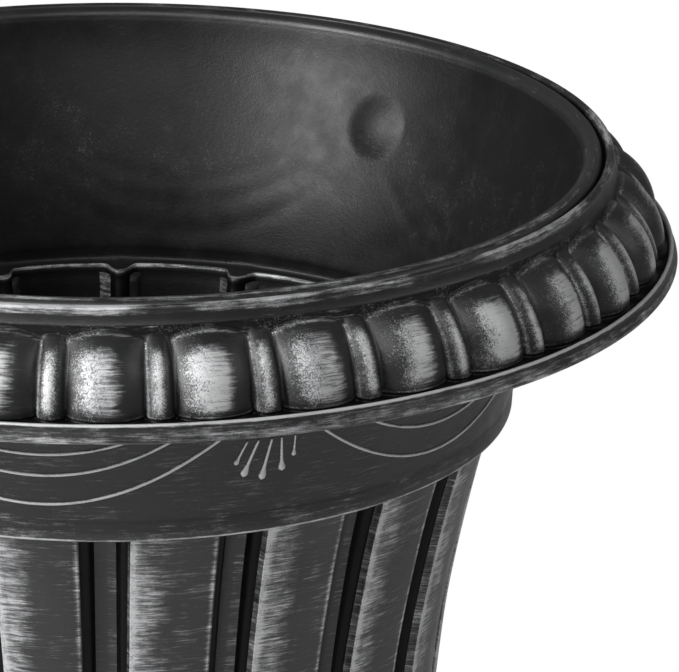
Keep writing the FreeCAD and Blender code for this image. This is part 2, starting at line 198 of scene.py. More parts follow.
def skin(name, radius, drop, angles, silver, body, material, flip=False, drag=0.6, painted_light=1.0):
    """A closed skin from radii and drops, one row per point of its profile, one column per angle."""
    rows, columns = radius.shape
    x = radius * np.cos(angles)
    y = radius * np.sin(angles)
    z = RIM_TOP - drop
    points = np.stack([x, y, z], 2).reshape(-1, 3)
    middle = np.stack([radius.mean(1), drop.mean(1)], 1)
    along = np.repeat(lengths(middle), columns)
    grain = np.stack([points[:, 0], points[:, 1], along], 1)
    faces = grid_faces(rows, columns)
    if flip:
        faces = faces[:, ::-1]
    drag, painted_light = (np.broadcast_to(value, radius.shape).reshape(-1) for value in (drag, painted_light))
    return mesh_object(name, points, faces, body, material, silver.reshape(-1), grain, drag, painted_light)


def spread(rows, columns):
    return np.repeat(np.asarray(rows, float)[:, None], columns, 1)


def hump(value, centre, width):
    return np.exp(-((value - centre) / width) ** 2)


def rise(value, low, high):
    t = np.clip((value - low) / (high - low), 0, 1)
    return t * t * (3 - 2 * t)


# ================================ materials ==================================================
class Graph:
    """Short calls for building a node tree."""

    def __init__(self, owner):
        owner.use_nodes = True
        self.tree = owner.node_tree
        self.tree.nodes.clear()

    def add(self, kind, **settings):
        node = self.tree.nodes.new(kind)
        for key, value in settings.items():
            setattr(node, key, value)
        return node

    def link(self, source, target):
        self.tree.links.new(source, target)

    def put(self, socket, value):
        if hasattr(value, "is_output"):
            self.link(value, socket)
        else:
            socket.default_value = value

    def math(self, operation, a, b):
        node = self.add("ShaderNodeMath", operation=operation)
        self.put(node.inputs[0], a)
        self.put(node.inputs[1], b)
        return node.outputs[0]

    def attribute(self, name, output):
        return self.add("ShaderNodeAttribute", attribute_name=name).outputs[output]

    def scaled(self, vector, scale):
        node = self.add("ShaderNodeVectorMath", operation="MULTIPLY")
        self.put(node.inputs[0], vector)
        node.inputs[1].default_value = scale
        return node.outputs[0]

    def noise(self, vector, scale, detail=2.0, rough=0.5):
        node = self.add("ShaderNodeTexNoise")
        self.put(node.inputs["Vector"], vector)
        for key, value in (("Scale", scale), ("Detail", detail), ("Roughness", rough)):
            node.inputs[key].default_value = value
        return node.outputs["Fac"]

    def ramp(self, value, low, high, to_low=0.0, to_high=1.0, smooth=True):
        node = self.add("ShaderNodeMapRange", interpolation_type="SMOOTHSTEP" if smooth else "LINEAR")
        for socket, v in zip(node.inputs, (value, low, high, to_low, to_high)):
            self.put(socket, v)
        return node.outputs[0]

    def mix(self, factor, a, b):
        node = self.add("ShaderNodeMix", data_type="RGBA")
        self.put(node.inputs[0], factor)
        self.put(node.inputs[6], a)
        self.put(node.inputs[7], b)
        return node.outputs[2]


def brushed_plastic(name):
    """Charcoal plastic with a moulded grain, and silver dragged over it where the mesh says, with painted
    highlights in the silver and painted shade that darkens the colour where the mesh's painted_light level
    is low.
    """
    material = bpy.data.materials.new(name)
    g = Graph(material)
    place = g.add("ShaderNodeTexCoord").outputs["Object"]
    grain = g.attribute("grain", "Vector")
    silver = g.attribute("silver", "Fac")
    drag = g.attribute("drag", "Fac")
    # painted_light carries painted shade from the mesh: low values darken the colour and the reflections.
    painted_light = g.attribute("painted_light", "Fac")
    cloud = g.noise(place, 16.0, 3.0)
    patch = g.noise(place, 90.0, 3.0, 0.6)
    long_streak = g.noise(g.scaled(grain, (38.0, 38.0, 900.0)), 1.0, 4.0, 0.65)
    short_streak = g.noise(g.scaled(grain, (170.0, 170.0, 1900.0)), 1.0, 3.0, 0.65)
    hair = g.noise(g.scaled(grain, (90.0, 90.0, 4200.0)), 1.0, 1.0, 0.5)
    speck = g.noise(place, 1900.0, 2.0, 0.7)
    mottle = g.noise(place, 620.0, 3.0, 0.65)

    dark = g.mix(g.ramp(cloud, 0.3, 0.7), (0.0085, 0.0087, 0.0092, 1), (0.0150, 0.0153, 0.0160, 1))
    worn = g.math("ADD", g.math("MULTIPLY", g.ramp(speck, 0.58, 0.78), g.ramp(patch, 0.48, 0.72)),
                  g.math("MULTIPLY", g.ramp(hair, 0.69, 0.76), g.ramp(patch, 0.40, 0.62)))
    # Light specks and hairs of wear, fainter where painted shade darkens the plastic.
    dark = g.mix(g.math("MULTIPLY", worn, g.math("MULTIPLY", painted_light, 0.55)), dark, (0.17, 0.17, 0.174, 1))
    # Painted shade: the colour goes towards near black where painted_light is low.
    dark = g.mix(painted_light, (0.0022, 0.0022, 0.0024, 1), dark)

    def around_half(value, amount):
        return g.math("MULTIPLY", g.math("SUBTRACT", value, 0.5), amount)

    streaks = g.math("ADD", around_half(long_streak, 1.5), around_half(short_streak, 1.5))
    grains = g.math("ADD", around_half(speck, 1.7), around_half(mottle, 0.6))
    total = g.math("ADD", silver, g.math("MULTIPLY", streaks, drag))
    total = g.math("ADD", total, g.math("MULTIPLY", grains, g.math("SUBTRACT", 1.25, drag)))
    total = g.math("ADD", total, around_half(patch, 1.1))
    cover = g.ramp(total, 0.22, 1.04)
    cover = g.math("MULTIPLY", cover, g.ramp(silver, 0.02, 0.22))
    shine = g.mix(g.ramp(total, 0.55, 1.25), (0.23, 0.232, 0.238, 1), (0.50, 0.502, 0.508, 1))
    shader = g.add("ShaderNodeBsdfPrincipled")
    g.link(g.mix(cover, dark, shine), shader.inputs["Base Color"])
    rough = g.math("ADD", g.ramp(patch, 0.2, 0.8, 0.33, 0.47), g.math("MULTIPLY", cover, 0.08))
    g.link(rough, shader.inputs["Roughness"])
    g.link(g.math("MULTIPLY", cover, 0.45), shader.inputs["Metallic"])
    # Painted shade also dims the reflections where painted_light is low.
    g.link(g.ramp(painted_light, 0.0, 1.0, 0.10, 0.50, smooth=False), shader.inputs["Specular IOR Level"])
    height = g.math("ADD", g.math("MULTIPLY", speck, 0.6), g.math("MULTIPLY", mottle, 0.8))
    height = g.math("ADD", height, g.math("MULTIPLY", short_streak, g.math("MULTIPLY", drag, 0.5)))
    height = g.math("ADD", height, g.math("MULTIPLY", cover, 0.3))
    bump = g.add("ShaderNodeBump")
    bump.inputs["Strength"].default_value = 0.20
    bump.inputs["Distance"].default_value = 0.0005
    g.link(height, bump.inputs["Height"])
    g.link(bump.outputs["Normal"], shader.inputs["Normal"])
    g.link(shader.outputs[0], g.add("ShaderNodeOutputMaterial").inputs["Surface"])
    return material


def plain_material(name, low, high, rough, metallic, grain_scale):
    """A material of one kind with cloudy colour, uneven gloss and a fine bump."""
    material = bpy.data.materials.new(name)
    g = Graph(material)
    place = g.add("ShaderNodeTexCoord").outputs["Object"]
    cloud = g.noise(place, 180.0, 3.0)
    fine = g.noise(place, grain_scale, 3.0, 0.6)
    shader = g.add("ShaderNodeBsdfPrincipled")
    shader.inputs["Metallic"].default_value = metallic
    g.link(g.mix(g.ramp(cloud, 0.3, 0.7), low, high), shader.inputs["Base Color"])
    g.link(g.ramp(fine, 0.2, 0.8, rough - 0.08, rough + 0.1), shader.inputs["Roughness"])
    bump = g.add("ShaderNodeBump")
    bump.inputs["Strength"].default_value = 0.25
    bump.inputs["Distance"].default_value = 0.0002
    g.link(fine, bump.inputs["Height"])
    g.link(bump.outputs["Normal"], shader.inputs["Normal"])
    g.link(shader.outputs[0], g.add("ShaderNodeOutputMaterial").inputs["Surface"])
    return material


charcoal = brushed_plastic("charcoal_brushed")
zinc = plain_material("zinc_plate", (0.42, 0.42, 0.43, 1), (0.6, 0.6, 0.6, 1), 0.34, 1.0, 1400.0)
rubber = plain_material("soft_rubber", (0.012, 0.012, 0.012, 1), (0.026, 0.026, 0.026, 1), 0.62, 0.0, 900.0)


# ================================ the rim ======================================================
def pair_angles():
    step = TURN / PAIRS
    return np.arange(PAIRS * PAIR_COLUMNS) * step / PAIR_COLUMNS


def crest_height(base, out, crest):
    """How far the crest curve stands off each base point, along its outward direction."""
    line = bend(*crest, 200)
    heights = []
    for point, direction in zip(base, out):
        rel = line - point
        side = rel[:, 0] * direction[1] - rel[:, 1] * direction[0]
        ahead = rel @ direction
        cross = np.where((side[:-1] * side[1:] <= 0) & (ahead[:-1] > -0.6))[0]
        heights.append(ahead[cross].max() if len(cross) else -2.0)
    return np.array(heights)


def rim_moulding():
    """Shoulder, hollow slope, eggs and darts, gutter and lip, with the thin skirt's inside."""
    angles = pair_angles()
    count = len(angles)
    shoulder = np.vstack([runs([(173.6, 5.6), (175.0, 5.2)]), path([(175.7, 4.0), (175.95, 2.6)], 0.5),
                          bend((176.0, 2.3), (177.6, 0.35), (179.1, 2.4), 12)[1:],
                          path([(179.15, 2.9), (179.5, 4.6), (180.1, 6.2)], 0.7)])
    base = path(EGG_BASE, 0.42)
    out = normals(base)
    share = lengths(base) / lengths(base)[-1]
    level = rise(share, 0.45, 1.0)[:, None]
    out = out * (1 - level) + np.array([1.0, 0.0]) * level
    out /= np.linalg.norm(out, axis=1)[:, None]
    egg = crest_height(base, out, EGG_CREST)
    dart = crest_height(base, out, DART_CREST)
    pitch = TURN / PAIRS
    from_dart = (angles + pitch / 2) % pitch - pitch / 2
    from_egg = (angles % pitch) - pitch / 2
    y_dart = from_dart * base[:, :1]
    y_egg = from_egg * base[:, :1]
    v = share[:, None]
    u = y_egg / EGG_HALF
    full = EGG_CROSS_R - math.sqrt(EGG_CROSS_R ** 2 - EGG_HALF ** 2)
    fall_egg = EGG_CROSS_R - np.sqrt(np.maximum(EGG_CROSS_R ** 2 - y_egg ** 2, 0))
    crest = np.interp(v - EGG_ARCH * u ** 2, share, egg)
    crest_lift = np.clip(crest / full, 0, 1)
    h_egg = crest - fall_egg * crest_lift - 0.6 * rise(abs(u), 0.86, 1.02)
    fall_dart = DART_CROSS_R - np.sqrt(np.maximum(DART_CROSS_R ** 2 - y_dart ** 2, 0))
    fall_dart = np.where(abs(y_dart) < DART_CROSS_R, fall_dart, 99)
    h_dart = dart[:, None] - fall_dart
    height = np.maximum(np.maximum(h_egg, h_dart), 0)
    zone_r = base[:, :1] + out[:, :1] * height
    zone_d = base[:, 1:] + out[:, 1:] * height

    foot_r = np.maximum(zone_r[-1] - FOOT_STEP[0] * rise(height[-1], 0.2, 1.5), 191.4)
    gutter = []
    for t in (0.0, 0.06, 0.5, 1.0):
        gutter.append(foot_r * (1 - t) + 199.35 * t)
    gutter_d = [spread([33.2 + FOOT_STEP[1] * s], count)[0] for s in (0.5, 1.0, 1.0, 1.0)]
    lip = np.vstack([runs([(199.5, 34.0)]), bend((199.7, 33.5), (200.3, 32.95), (200.95, 33.5), 5),
                     path([(201.05, 34.1), (201.25, 34.9), (201.8, 36.3), (202.4, 37.9)], 0.5),
                     bend((202.55, 38.6), (202.2, 39.15), (201.6, 39.3), 4),
                     runs([(200.6, 39.3), (200.0, 39.1), (199.5, 38.3)])])
    skirt = np.vstack([path([(198.9, 37.4), (196.0, 37.0), (190.2, 36.9)], 2.0),
                       path([(189.1, 36.2), (188.6, 31.0), (186.2, 23.6), (179.0, 13.4)], 2.0),
                       path([(178.2, 12.0), (177.0, 7.4), (175.4, 6.2)], 1.5)])
    radius = np.vstack([spread(shoulder[:, 0], count), zone_r, np.array(gutter),
                        spread(lip[:, 0], count), spread(skirt[:, 0], count)])
    drop = np.vstack([spread(shoulder[:, 1], count), zone_d, np.array(gutter_d),
                      spread(lip[:, 1], count), spread(skirt[:, 1], count)])

    view = angles - VIEW_ANGLE
    rng = np.random.default_rng(7)
    number = (angles / pitch).astype(int)
    jitter = rng.uniform(-1, 1, (PAIRS, 4))[number]
    # facing runs from -1 on the camera's left to 1 on its right. The silver patches on the eggs shift and
    # brighten, and the darts' stripes shift, towards the camera's right: painted light where the key lamp
    # falls off.
    facing = np.sin(view)
    left = -1.05 + 0.45 * facing + 0.10 * jitter[:, 0]
    right = 0.26 + 0.30 * facing + 0.12 * jitter[:, 1]
    spot = v - EGG_ARCH * u ** 2
    patch = (rise(u, left, left + 0.70) * (1 - rise(u, right - 0.16, right + 0.30))
             * rise(spot, 0.20, 0.42) * (1 - rise(v, 0.84, 1.02)))
    top_edge = share[np.argmax(egg > 0.05)]
    arch = hump(spot, top_edge + 0.035, 0.024)
    egg_mask = (0.76 + 0.30 * np.clip(facing, 0, 1) + 0.12 * jitter[:, 2]) * patch + 0.48 * arch + 0.12
    egg_mask -= 0.16 * rise(u, 0.35, 0.7)
    w = y_dart / DART_CROSS_R
    stripe = hump(w, -0.10 + 0.15 * facing, 0.50) * rise(v, 0.20, 0.40) * (1 - rise(v, 0.86, 1.05))
    edge = rise(-w, 0.66, 0.90) * (abs(w) < 1) * rise(v, 0.10, 0.2)
    dart_mask = (0.95 + 0.1 * jitter[:, 3]) * stripe + 0.75 * edge + 0.08
    slope = np.full_like(u, 0.20) * rise(v, 0.6, 0.0)
    mask = np.where(h_dart > np.maximum(h_egg, 0), dart_mask, np.where(h_egg > 0, egg_mask, slope))
    mask[-2:] = np.maximum(mask[-2:], 0.5 * (height[-2:] > 0.5))
    drag_zone = np.where(h_dart > np.maximum(h_egg, 0), 0.25, rise(u, -0.35, 0.15) * 0.95 + 0.05)
    wave = 0.62 + 0.25 * np.sin(9 * view - 0.9) + 0.2 * np.sin(23 * view + 2.0)
    # Silver in streaks on the shoulder's crown, laid only on the half towards the camera, with a painted
    # highlight on the front-left quarter where the key lamp catches the crown.
    key_side_highlight = rise(-np.sin(view), -0.17, 0.03) * (np.cos(view) > 0)
    crown = spread(hump(shoulder[:, 0], 178.0, 1.8) * (shoulder[:, 1] < 3.4), count)
    stroke = rise(wave, 0.38, 0.72) * (np.cos(view) > -0.2)
    shoulder_silver_and_highlight = crown * (0.18 + 0.62 * stroke + 0.80 * key_side_highlight) + 0.08
    # Silver on the lip: the rounded top edge gets a painted highlight at 1.25 over its silver, the face
    # brightens towards its lower edge with silver streaks, and the underside gets little.
    lip_share = lengths(lip)
    lip_silver_and_highlight = np.where(lip_share < 2.6, 1.25, 0.18) + 0.42 * rise(lip_share, 2.6, 7.2)
    lip_silver_and_highlight[lip_share > 9.3] = 0.2
    silver = np.vstack([shoulder_silver_and_highlight, mask, np.zeros((4, count)) - 0.2,
                        spread(lip_silver_and_highlight, count), np.full((len(skirt), count), -0.1)])
    drag = np.vstack([np.full(shoulder_silver_and_highlight.shape, 0.9), drag_zone, np.zeros((4, count)),
                      np.full((len(lip), count), 1.0), np.full((len(skirt), count), 0.5)])
    # Painted shade: the hollow slope between the eggs and darts is darkened to 0.28, the gutter to 0.15, the
    # skirt's underside to 0.8 and the shoulder to 0.9.
    shade = np.where((h_dart > 0) | (h_egg > 0), 1.0, 0.28)
    painted_light = np.vstack([np.full(shoulder_silver_and_highlight.shape, 0.9), shade, np.full((4, count), 0.15),
                      np.full((len(lip), count), 1.0), np.full((len(skirt), count), 0.8)])
    return skin("rim_moulding", radius, drop, angles, silver, "urn", charcoal, drag=drag, painted_light=painted_light)


# ================================ the bowl =======================================================
def flute_angles():
    """Columns that lie closer together at the edges of the flutes."""
    pitch = TURN / FLUTES
    groove = pitch * GROOVE_SHARE
    inside = -0.5 * np.cos(np.pi * np.arange(GROOVE_COLUMNS) / GROOVE_COLUMNS) * groove
    share = 0.5 - 0.5 * np.cos(np.pi * np.arange(PANEL_COLUMNS) / PANEL_COLUMNS)
    panel = groove / 2 + (pitch - groove) * share
    one = np.concatenate([inside, panel])
    return (one[None, :] + pitch * np.arange(FLUTES)[:, None]).ravel()


def fluted(radius, drop, angles, narrow=1.0):
    """Radii of rows of panels and rounded flutes; narrow is the flutes' share of their width."""
    pitch = TURN / FLUTES
    from_groove = (angles + pitch / 2) % pitch - pitch / 2
    share = np.clip((drop - 97.0) / (BOWL_DEPTH - 97.0), 0, 1)
    depth = FLUTE_DEPTH + (FLUTE_DEPTH_FOOT - FLUTE_DEPTH) * share
    half = np.full(len(radius), pitch * GROOVE_SHARE / 2 * narrow)
    u = from_groove[None, :] / half[:, None]
    across = (abs(from_groove)[None, :] - half[:, None]) / (pitch / 2 - half)[:, None]
    crown = PANEL_CROWN * (radius / 139.7)[:, None]
    panel = radius[:, None] - crown * (1 - np.clip(across, 0, 1)) ** 2
    groove = radius[:, None] - crown - depth[:, None] * np.sqrt(np.maximum(1 - u ** 2, 0))
    out = np.where(abs(u) < 1, groove, panel)
    smooth = 0.25 * np.roll(out, 1, 1) + 0.5 * out + 0.25 * np.roll(out, -1, 1)
    return smooth, np.where(abs(u) < 1, 0, 1) * np.sign(from_groove) * (1 - np.clip(across, 0, 1))


def around(angles, count, turn):
    """Angle from the nearest of count places round the axis."""
    pitch = TURN / count
    return (angles - turn + pitch / 2) % pitch - pitch / 2


def bowl():
    """Bead, inner wall, band and fluted body, as one closed thin-walled skin."""
    angles = flute_angles()
    count = len(angles)
    wall = path(INNER_WALL, 1.1)[::-1]
    outside = wall + normals(wall) * WALL
    bead = bend((MOUTH_R, BEAD_R), (171.3, -0.02), (GROOVE_R, GROOVE_DROP), 16)
    under_bead = path([(174.8, 3.6), (174.2, 6.0), (172.4, 9.0)], 1.0)
    outside = outside[(outside[:, 1] > 11.0) & (outside[:, 1] < 93.0)]
    band_edge = np.vstack([path([(144.75, 94.2), (144.7, 95.3)], 0.5),
                           bend((144.6, 95.7), (144.2, 96.3), (143.5, 96.5), 4), runs([(142.0, 96.7)])])
    body = path(BODY_OUTER, 3.4)
    body_in = body - normals(body) * WALL
    body_in = body_in[body_in[:, 1] < BOWL_DEPTH - FLOOR - 1.5]
    base_out = runs([(40.0, 338.0), (DRAIN_R + 0.6, 338.0), (DRAIN_R, 337.5)])
    base_in = runs([(DRAIN_R, 335.1), (DRAIN_R + 0.5, 334.6), (40.0, 334.6), (54.5, 334.55)])

    parts = []      # rows of radius, drop, silver, drag and painted_light (painted shade)
    view = angles - VIEW_ANGLE

    def rows(radii, drops, silver, drag=0.8, painted_light=1.0):
        shape = np.broadcast(radii, drops).shape
        parts.append([np.broadcast_to(q, shape) for q in (radii, drops, silver, drag, painted_light)])

    def ring(p, silver, drag=0.8, painted_light=1.0):
        silver = np.asarray(silver, float)
        rows(spread(p[:, 0], count), p[:, 1:], silver[:, None] if silver.ndim == 1 else silver, drag, painted_light)

    swag = around(angles, SWAGS, SWAG_TURN)
    front = rise(np.cos(view), -0.3, 0.7)
    wander = 0.5 + 0.5 * np.sin(6 * angles + 1.0) * np.sin(5 * angles + 0.4)
    # Silver on the bead, laid only on the side towards the camera: partly dry-brushed silver, partly painted
    # highlights along the crest and the inner edge where the lamps catch them.
    bead_silver_and_highlight = (hump(bead[:, :1], 172.4, 1.0) * (0.22 + 0.45 * wander) * front
                   + 0.25 * hump(bead[:, :1], 169.0, 0.8) * (0.2 + 0.8 * wander) * front + 0.05)
    ring(bead, bead_silver_and_highlight, drag=0.9)
    # Painted shade under the bead, darkened to 0.1.
    ring(under_bead, -0.2, painted_light=0.1)
    # The band under the rim, with painted shade that darkens it to 0.72.
    rows(spread(outside[:, 0], count), outside[:, 1:], 0.14 + 0.10 * rise(outside[:, 1:], 86.0, 95.0),
         drag=1.0, painted_light=0.72)
    ring(band_edge, np.where(band_edge[:, 0] > 143.9, np.where(band_edge[:, 1] > 95.6, 0.95, 0.3), 0.2))
    lobes, across = fluted(body[:, 0], body[:, 1], angles)
    rng = np.random.default_rng(11)
    panel_no = ((angles % TURN) / (TURN / FLUTES)).astype(int) % FLUTES
    wobble = rng.uniform(0, 1, (FLUTES, 3))
    a = across          # 1 at a groove's right edge, falling to 0 in the panel's middle, then to -1
    left = np.where(a > 0, a, 0)
    right = np.where(a < 0, -a, 0)
    reach = 0.62 - 0.25 * wobble[panel_no, 0]
    in_groove = around(angles, FLUTES, 0.0) / (TURN / FLUTES * GROOVE_SHARE / 2)
    # Painted light: the right flank of each groove, which faces the key lamp, is lightened with silver
    # towards the panel's edge.
    lit_groove_flank = (0.16 + 0.20 * rise(in_groove, 0.45, 0.95)) * (a == 0) * (in_groove > 0.1)
    right_line = rise(right, 0.84, 0.93) * (1 - rise(right, 0.94, 1.0))
    body_mask = (0.50 * rise(left, reach - 0.62, reach + 0.1) + 0.34 * rise(left, 0.74, 0.93)
                 + 0.12 * (a != 0) + lit_groove_flank + (0.50 + 0.25 * wobble[panel_no, 1]) * right_line + 0.05)
    rows(lobes, body[:, 1:], body_mask, drag=0.25 + 0.75 * (1 - rise(left, 0.8, 0.98)))
    rows(spread(base_out[:, 0], count), base_out[:, 1:], -0.2)
    # Painted shade on the floor inside the bowl, darkened to 0.1.
    rows(spread(base_in[:, 0], count), base_in[:, 1:], -0.2, painted_light=0.1)
    inner_lobes, _ = fluted(body_in[::-1, 0], body_in[::-1, 1], angles, narrow=INNER_NARROW)
    # Painted shade deep inside the bowl: the fluted inner wall darkened to 0.03, and to 0.13 near the ledge.
    rows(inner_lobes, body_in[::-1, 1:], 0.0, painted_light=0.03 + 0.10 * (body_in[::-1, 1:] < 100))
    edge = inner_lobes[-1]
    for t, d, s in ((0.0, LEDGE_DROP + 1.6, 0.0), (0.03, LEDGE_DROP + 0.7, 0.70), (0.10, LEDGE_DROP, 0.70),
                    (0.2, LEDGE_DROP - 0.1, 0.05), (0.6, LEDGE_DROP, 0.0), (0.94, LEDGE_DROP, 0.1)):
        # Painted shade on the ledge inside, darkened to 0.7.
        rows(edge[None] * (1 - t) + 141.6 * t, np.full((1, count), d), s, painted_light=0.7)
    inner = wall[::-1][1:-1]
    hollow = np.hypot(swag[None, :] * 156.0, inner[:, 1:] - BOSS_DROP)
    dent = -BOSS_DEPTH * np.clip(1 - (hollow / BOSS_R) ** 2, 0, 1) ** 1.6
    fold = np.zeros_like(dent)
    from_middle = around(angles, SWAGS, SWAG_TURN + TURN / SWAGS / 2)
    for low, curl in ((82.3, 1.0), (71.0, 1.05), (62.6, 1.1)):
        line = low - 175.5 * curl * (0.785 * from_middle ** 2 + 0.327 * from_middle ** 4)
        fold += 0.14 * hump(inner[:, 1:] - line[None, :], 0, 3.4) * rise(inner[:, 1:], 44.0, 60.0)
    edge_line = 0.35 * hump(inner[:, 1:], 6.0, 2.5) * front
    # Painted shade on the wall inside the mouth, darkened to 0.32.
    rows(inner[:, :1] + dent + fold, inner[:, 1:], 0.05 + 0.05 * hump(inner[:, 1:], 50, 26) + edge_line,
         drag=0.15, painted_light=0.32)
    radius, drop, silver, drag, painted_light = (np.vstack([q[k] for q in parts]) for k in range(5))
    piece = skin("bowl", radius, drop, angles, silver, "urn", charcoal, drag=drag, painted_light=painted_light)
    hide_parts("urn_bowl")
    return wall


rim_moulding()
inner_wall_line = bowl()


# ================================ garlands =======================================================
def band_radius(drop):
    order = inner_wall_line[:, 1].argsort()
    outside = (inner_wall_line + normals(inner_wall_line) * WALL)[order]
    return np.interp(drop, outside[:, 1], outside[:, 0])


def ridge(name, strokes, sections=8):
    """Low ridges laid on the band: each stroke is rows of (angle, drop, half width, height)."""
    points = []
    faces = []
    silver = []
    for stroke in strokes:
        stroke = np.array(stroke, float)
        start = len(points)
        r = band_radius(stroke[:, 1])
        turns = stroke[:, 0]
        centre = np.stack([r * np.cos(turns), r * np.sin(turns), RIM_TOP - stroke[:, 1]], 1)
        out = np.stack([np.cos(turns), np.sin(turns), np.full(len(r), -0.25)], 1)
        along = np.gradient(centre, axis=0)
        side = np.cross(along, out)
        side /= np.linalg.norm(side, axis=1)[:, None]
        for k in range(len(stroke)):
            for j in range(sections):
                turn = TURN * j / sections
                across = side[k] * stroke[k, 2] * math.cos(turn)
                points.append(centre[k] + across + out[k] * stroke[k, 3] * math.sin(turn))
                silver.append(0.55 + 0.75 * max(0.0, math.sin(turn)))
        for k in range(len(stroke) - 1):
            for j in range(sections):
                a, b = start + k * sections + j, start + k * sections + (j + 1) % sections
                faces.append((a, b, b + sections, a + sections))
        faces.append([start + j for j in range(sections)][::-1])
        faces.append([len(points) - sections + j for j in range(sections)])
    return mesh_object(name, points, faces, "urn", charcoal, silver)


def garlands():
    """Three nested cords between each pair of tassels."""
    strokes = []
    for k in range(SWAGS):
        middle = SWAG_TURN + TURN / SWAGS * (k + 0.5)
        for low, bowl_a, bowl_b in ((82.3, 0.785, 0.327), (71.0, 0.80, 0.9), (62.6, 0.70, 2.0)):
            a = np.linspace(-0.5, 0.5, 101)
            drop = low - 175.5 * (bowl_a * a ** 2 + bowl_b * a ** 4)
            a, drop = a[drop > 43.0], drop[drop > 43.0]
            end = 1 - rise(abs(a), abs(a).max() * 0.9, abs(a).max() * 1.02)
            strokes.append(np.stack([middle + a, drop, 0.28 + 0.32 * end, 0.15 + 0.35 * end], 1))
    return ridge("garland_cords", strokes)


def tassels():
    """Five strokes that end in drops, under each boss."""
    tops = (-3.1, -1.6, 0.2, 1.5, 3.4)
    ends = ((-4.4, 69.0), (-3.2, 74.0), (-0.6, 76.0), (2.2, 73.5), (3.6, 68.3))
    strokes = []
    for k in range(SWAGS):
        middle = SWAG_TURN + TURN / SWAGS * k
        for top, (end, low) in zip(tops, ends):
            t = np.linspace(0, 1, 26)
            full = 1.0 if low > 70 else 0.7
            width = full * (0.42 + 0.25 * t + 0.75 * hump(t, 0.9, 0.13)) * (1 - rise(t, 0.94, 1.02) * 0.9)
            angle = middle + np.radians(top + (end - top) * t)
            strokes.append(np.stack([angle, 60.0 + (low - 60.0) * t, width, 0.25 + 0.45 * width], 1))
    return ridge("tassels", strokes)


garlands()
tassels()


# ================================ the foot =========================================================
FOOT_COLUMNS = 192
PLINTH = 238.0
PLINTH_CORNER = 5.0
RIB_START = 92.0            # ribs under the plinth: inner end, half thickness, heights
RIB_HALF = 1.3
RIB_LOW = 6.0
RIB_HIGH = 27.5
SCREW_CIRCLE = 31.0
SCREW_BOSS_R = 5.6
SCREW_BOSS_SIDES = 32
SCREW_BOSS_LOW = 123.5
SCREW_BOSS_HIGH = 141.9


def square_radius(angles, half, corner):
    """Polar radius of a square with rounded corners."""
    a = abs((angles + math.pi / 4) % (math.pi / 2) - math.pi / 4)
    flat = half / np.cos(a)
    core = half - corner
    toward = math.pi / 4 - a
    mid = core * math.sqrt(2)
    turned = mid * np.cos(toward) + np.sqrt(np.maximum(corner ** 2 - (mid * np.sin(toward)) ** 2, 0))
    return np.where(half * np.tan(a) > core, turned, flat)


def foot():
    """Stem, base ring and collar in one skin, the square plinth in another."""
    angles = np.arange(FOOT_COLUMNS) * TURN / FOOT_COLUMNS
    outer = np.vstack([
        bend((108.0, 30.0), (106.5, 42.0), (93.0, 48.0), 12), runs([(92.4, 49.0)]),
        path([(88.0, 50.5), (86.0, 53.5), (78.0, 58.5), (62.0, 71.0), (50.0, 88.0), (43.8, 104.0),
              (43.0, 112.0), (44.6, 121.0), (48.6, 129.5)], 2.2),
        runs([(49.0, 131.0), (55.2, 131.2)]), bend((56.5, 131.6), (60.0, 136.6), (57.9, 141.6), 10),
        runs([(57.0, 141.98)])])
    cup = runs([(52.2, 141.9), (51.75, 141.4), (51.75, 137.2), (51.3, 136.75), (20.5, 136.75),
                (20.0, 136.3), (20.0, 134.0), (20.4, 133.75), (45.5, 133.75), (46.0, 133.2), (46.0, 130.6)])
    inner = path([(45.8, 129.8), (41.4, 120.0), (40.0, 112.0), (41.0, 104.0), (47.4, 89.2), (59.8, 73.0),
                  (76.0, 61.0), (83.6, 55.6), (86.0, 48.6), (92.0, 45.4), (102.4, 39.0), (104.9, 30.0)], 3.0)
    stem = np.vstack([outer, cup, inner])
    rings = hump(stem[:, 1], 40.0, 6.0) * (stem[:, 0] > 96)
    rings += hump(stem[:, 1], 137.0, 3.0) * (stem[:, 0] > 56)
    mask = spread(0.08 + 0.6 * rings, FOOT_COLUMNS)
    stem_piece = skin("foot_stem", spread(stem[:, 0], FOOT_COLUMNS),
                      RIM_TOP - spread(stem[:, 1], FOOT_COLUMNS), angles, mask, "urn",
                      charcoal, flip=True)
    half = PLINTH / 2
    columns = 8 * 40
    turns = np.arange(columns) * TURN / columns
    rows = []
    heights = []
    silver = []

    def level(size, corner, z, s):
        rows.append(square_radius(turns, size, corner))
        heights.append(np.full(columns, z))
        silver.append(np.full(columns, s))

    for size, z, s in ((half - 0.9, 0.0, 0.2), (half, 0.8, 0.7), (half - 0.1, 2.0, 0.25),
                       (half - 0.7, 14.0, 0.12), (half - 1.3, 26.0, 0.3), (half - 1.5, 28.6, 0.85),
                       (half - 2.0, 29.6, 0.85), (half - 3.2, 30.0, 0.4)):
        level(size, PLINTH_CORNER, z, s)
    for r, z, s in ((108.5, 30.0, 0.1), (106.0, 30.0, 0.0), (105.0, 29.0, 0.0), (105.0, 27.0, 0.0)):
        rows.append(np.full(columns, r))
        heights.append(np.full(columns, z))
        silver.append(np.full(columns, s))
    for size, z in ((half - 4.6, 27.0), (half - 4.4, 26.0), (half - 3.0, 0.0)):
        level(size, PLINTH_CORNER - 2.1, z, 0.0)
    skin("foot_plinth", np.array(rows), RIM_TOP - np.array(heights), turns, np.array(silver), "urn",
         charcoal, flip=True)
    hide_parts("pedestal_foot")


